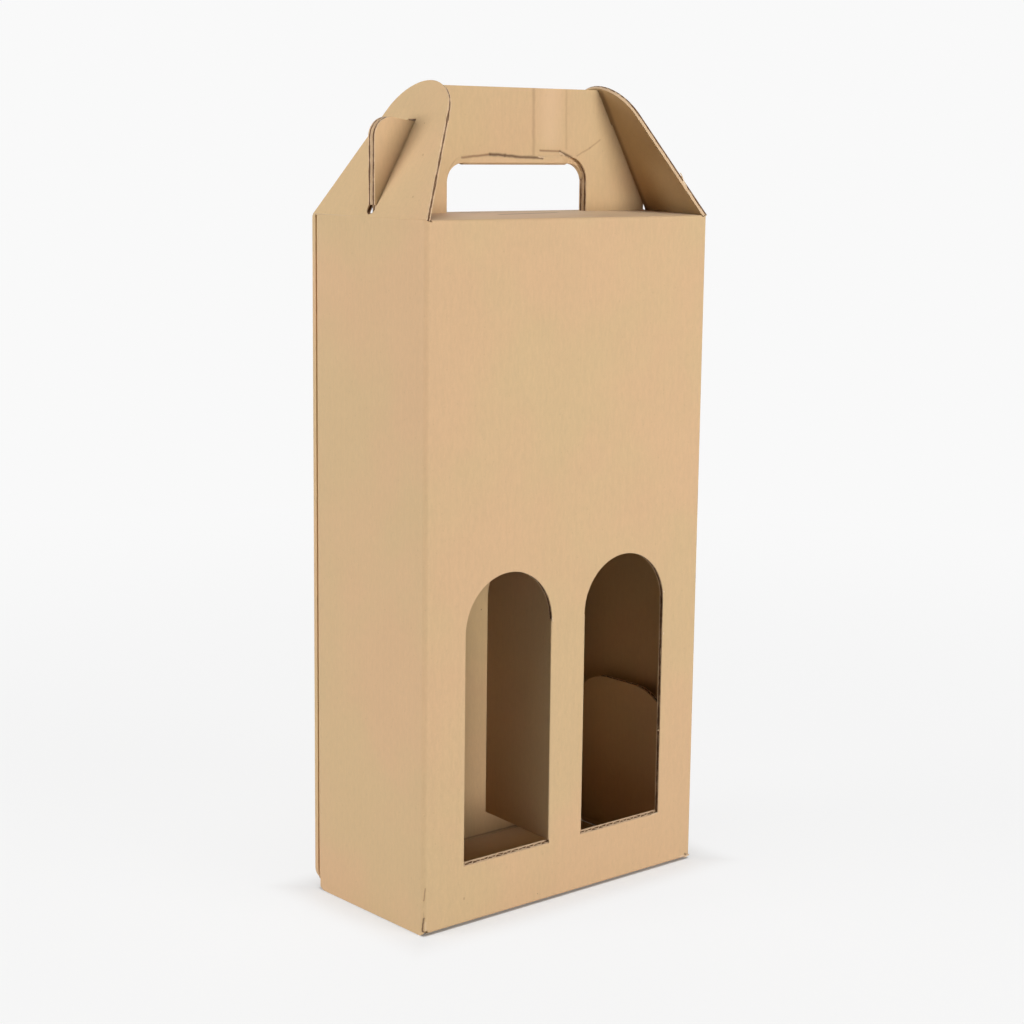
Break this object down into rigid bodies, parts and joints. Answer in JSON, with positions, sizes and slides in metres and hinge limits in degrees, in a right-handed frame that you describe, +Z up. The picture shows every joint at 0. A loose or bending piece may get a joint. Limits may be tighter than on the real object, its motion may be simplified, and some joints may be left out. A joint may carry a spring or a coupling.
{
  "type": "bottle carrier carton",
  "caption": "Corrugated cardboard gable carton with a hand hole and arched windows, for carrying a pair of bottles upright.",
  "frame": {"origin": "on the ground under the middle of the box", "axes": "+X along the front to the right as seen from the front, -Y out of the front with the windows, +Z up"},
  "size_m": [0.18, 0.088, 0.4012],
  "materials": {
    "kraft_board": "matt unbleached kraft liner"
  },
  "bodies": {
    "carton": {"carton": "kraft_board"},
    "gable_flap_left": {"gable_flap_left": "kraft_board"},
    "gable_flap_right": {"gable_flap_right": "kraft_board"},
    "window_flap_left": {"window_flap_left": "kraft_board"},
    "window_flap_right": {"window_flap_right": "kraft_board"},
    "bottom_flap": {"bottom_flap": "kraft_board"},
    "tuck_tongue": {"tuck_tongue": "kraft_board"}
  },
  "joints": [
    {"name": "gable_hinge_left", "type": "hinge", "parent": "carton", "child": "gable_flap_left", "pos_m": [-0.09, 0, 0.338], "axis": [0, -1, 0], "range_deg": [0, 120]},
    {"name": "gable_hinge_right", "type": "hinge", "parent": "carton", "child": "gable_flap_right", "pos_m": [0.09, 0, 0.338], "axis": [0, 1, 0], "range_deg": [0, 120]},
    {"name": "window_hinge_left", "type": "hinge", "parent": "carton", "child": "window_flap_left", "pos_m": [-0.0107, -0.044, 0.0873], "axis": [0, 0, 1], "range_deg": [0, 94.5]},
    {"name": "window_hinge_right", "type": "hinge", "parent": "carton", "child": "window_flap_right", "pos_m": [0.0107, -0.044, 0.0873], "axis": [0, 0, -1], "range_deg": [0, 94.5]},
    {"name": "bottom_hinge", "type": "hinge", "parent": "carton", "child": "bottom_flap", "pos_m": [-0.09, 0, 0], "axis": [0, 1, 0], "range_deg": [0, 90]},
    {"name": "tongue_hinge", "type": "hinge", "parent": "bottom_flap", "child": "tuck_tongue", "pos_m": [0.0872, 0, 0], "axis": [0, 1, 0], "range_deg": [-46, 0]}
  ],
  "couplings": [
    {"joint": "tongue_hinge", "follows": "bottom_hinge", "ratio": -0.5}
  ]
}
